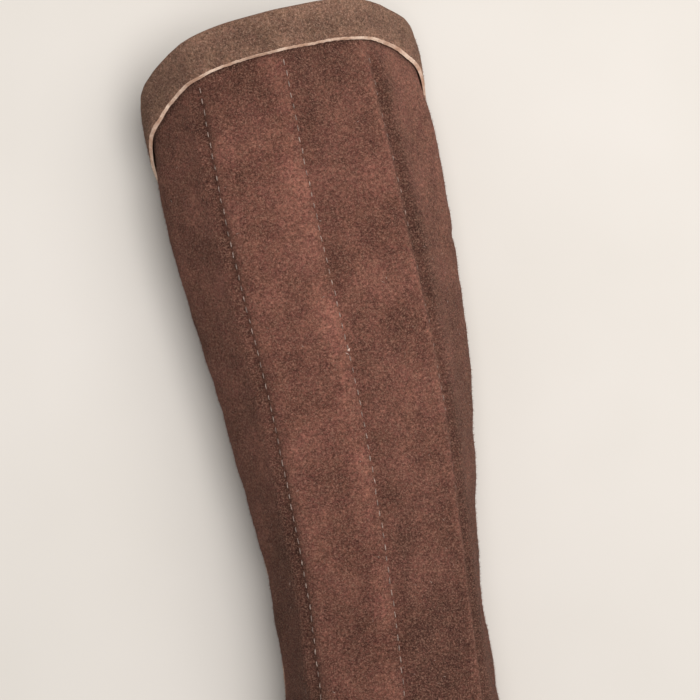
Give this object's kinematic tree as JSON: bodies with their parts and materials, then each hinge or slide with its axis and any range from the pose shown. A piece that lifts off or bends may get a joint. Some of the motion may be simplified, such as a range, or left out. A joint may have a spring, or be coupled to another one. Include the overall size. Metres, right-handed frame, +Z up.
{
  "type": "leather greave",
  "caption": "Shin guard of channelled brown suede with a bound edge, an open back and two back straps, which covers the front of the lower leg from knee to ankle.",
  "frame": {"origin": "On the surface that the greave lies on, in the middle of the rectangle it covers.", "axes": "+Z is up, away from the leg, with the shin side up; +Y points along the shin to the knee end; X runs across the shin."},
  "size_m": [0.145, 0.4049, 0.0814],
  "materials": {
    "suede": "brushed nap, matt",
    "binding_suede": "brushed nap, matt, with a pale cut edge",
    "strap_leather": "smooth, dull",
    "clasp_metal": "satin, slightly aged"
  },
  "bodies": {
    "root": {"suede_shell": "suede", "edge_binding": "binding_suede", "calf_strap": "strap_leather", "ankle_strap": "strap_leather", "calf_clasp": "clasp_metal", "ankle_clasp": "clasp_metal"}
  },
  "joints": []
}
